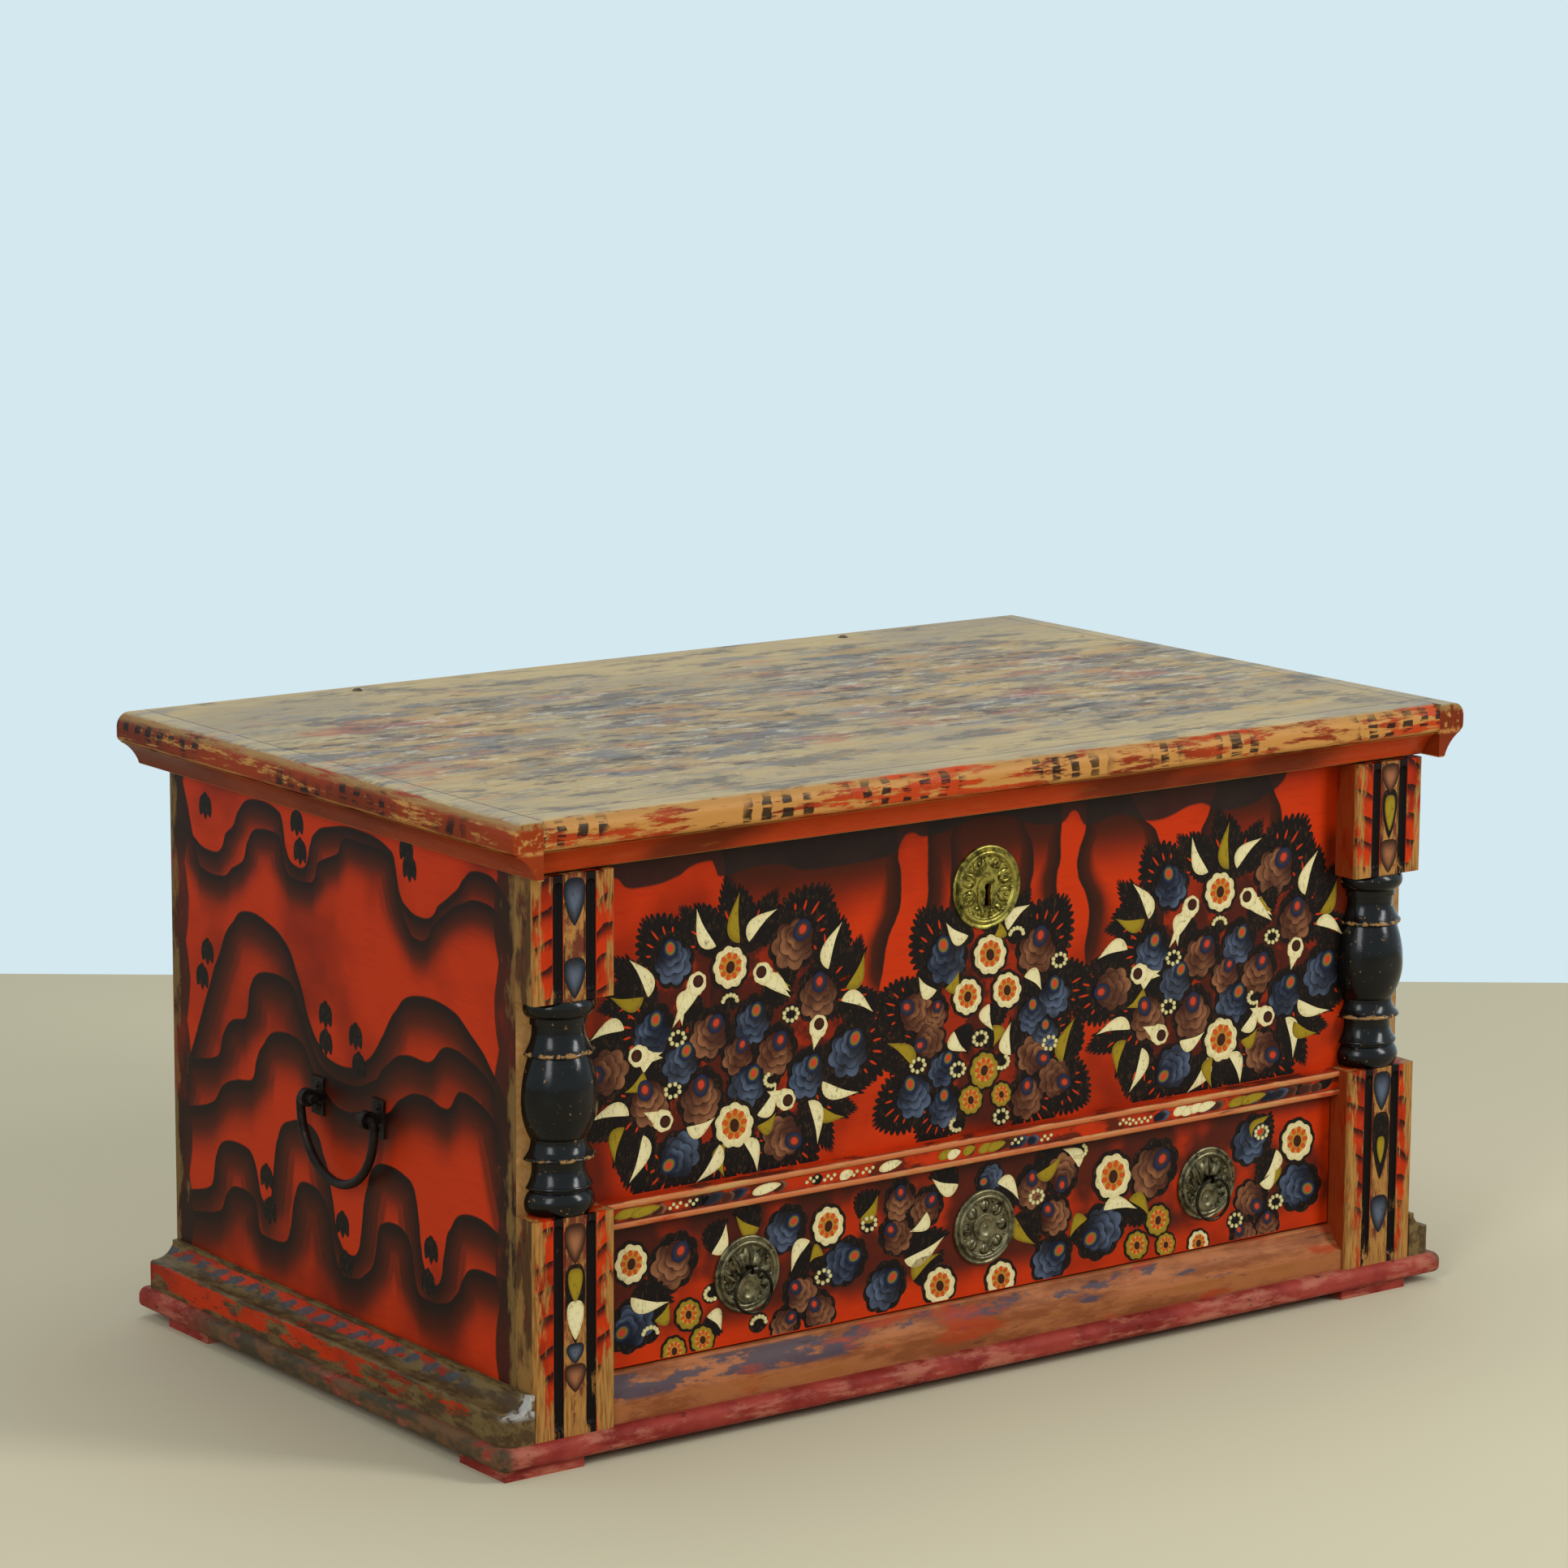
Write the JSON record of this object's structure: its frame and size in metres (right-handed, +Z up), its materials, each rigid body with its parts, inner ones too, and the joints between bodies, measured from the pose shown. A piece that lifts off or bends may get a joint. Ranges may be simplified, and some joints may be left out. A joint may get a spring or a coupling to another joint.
{
  "type": "dowry chest",
  "caption": "Folk-painted dowry chest: hinged moulded lid, panelled case with turned half-columns and fluted corner blocks, a long drawer with ring pulls, and drop handles.",
  "frame": {"origin": "on the floor under the middle of the bounding box", "axes": "+Z up, -Y out of the front with the drawer, +X to the viewer's right at the front"},
  "size_m": [1.075, 0.658, 0.566],
  "materials": {
    "red_paint": "aged vermilion paint with dark folk ornament, satin",
    "black_paint": "black paint with worn ochre rings, gloss",
    "maroon_paint": "dark maroon paint, worn",
    "bare_wood": "bare pine, aged",
    "dark_iron": "hand-forged, dark",
    "dark_bronze": "dark patina, worn on the edges",
    "brass": "tarnished, worn bright on the relief"
  },
  "bodies": {
    "case": {"base_board": "red_paint", "side_left": "red_paint", "side_right": "red_paint", "back_board": "red_paint", "front_board": "red_paint", "lower_block_left": "red_paint", "lower_block_right": "red_paint", "top_block_left": "red_paint", "top_block_right": "red_paint", "mid_rail": "red_paint", "base_moulding_front": "red_paint", "base_moulding_left": "red_paint", "base_moulding_right": "red_paint", "column_left": "black_paint", "column_right": "black_paint", "foot_front_left": "maroon_paint", "foot_front_right": "maroon_paint", "foot_back_left": "maroon_paint", "foot_back_right": "maroon_paint", "stile_left": "bare_wood", "stile_right": "bare_wood", "bottom_rail": "bare_wood", "chest_floor": "bare_wood", "runner_left": "bare_wood", "runner_right": "bare_wood", "lock_case": "dark_iron", "handle_lugs_left": "dark_iron", "handle_lugs_right": "dark_iron", "hinge_case_leaf_left": "dark_iron", "hinge_case_leaf_right": "dark_iron", "hinge_pins": "dark_iron", "iron_nails": "dark_iron", "escutcheon": "brass"},
    "lid": {"lid_board_front": "bare_wood", "lid_board_middle": "bare_wood", "lid_board_back": "bare_wood", "lid_moulding_front": "red_paint", "lid_moulding_left": "red_paint", "lid_moulding_right": "red_paint", "hinge_lid_leaf_left": "dark_iron", "hinge_lid_leaf_right": "dark_iron", "hinge_rivets": "dark_iron", "lid_staple": "dark_iron"},
    "drawer": {"drawer_front": "red_paint", "drawer_side_left": "bare_wood", "drawer_side_right": "bare_wood", "drawer_back": "bare_wood", "drawer_bottom": "bare_wood", "rosette_left": "dark_bronze", "rosette_centre": "dark_bronze", "rosette_right": "dark_bronze", "pull_eyes": "dark_bronze"},
    "ring_left": {"ring_left": "dark_bronze"},
    "ring_right": {"ring_right": "dark_bronze"},
    "handle_left": {"handle_left": "dark_iron"},
    "handle_right": {"handle_right": "dark_iron"},
    "bolt": {"lock_bolt": "dark_iron"}
  },
  "joints": [
    {"name": "lid_hinge", "type": "hinge", "parent": "case", "child": "lid", "pos_m": [0, 0.2945, 0.5345], "axis": [-1, 0, 0], "range_deg": [0, 98]},
    {"name": "drawer_slide", "type": "slide", "parent": "case", "child": "drawer", "axis": [0, -1, 0], "range_m": [0, 0.36]},
    {"name": "ring_left_swing", "type": "hinge", "parent": "drawer", "child": "ring_left", "pos_m": [-0.263, -0.296, 0.1375], "axis": [-1, 0, 0], "range_deg": [-7, 120]},
    {"name": "ring_right_swing", "type": "hinge", "parent": "drawer", "child": "ring_right", "pos_m": [0.263, -0.296, 0.1375], "axis": [-1, 0, 0], "range_deg": [-7, 120]},
    {"name": "handle_left_swing", "type": "hinge", "parent": "case", "child": "handle_left", "pos_m": [-0.513, -0.0185, 0.26], "axis": [0, 1, 0], "range_deg": [-7, 165]},
    {"name": "handle_right_swing", "type": "hinge", "parent": "case", "child": "handle_right", "pos_m": [0.513, -0.0185, 0.26], "axis": [0, -1, 0], "range_deg": [-7, 165]},
    {"name": "bolt_slide", "type": "slide", "parent": "case", "child": "bolt", "axis": [1, 0, 0], "range_m": [0, 0.014]}
  ]
}
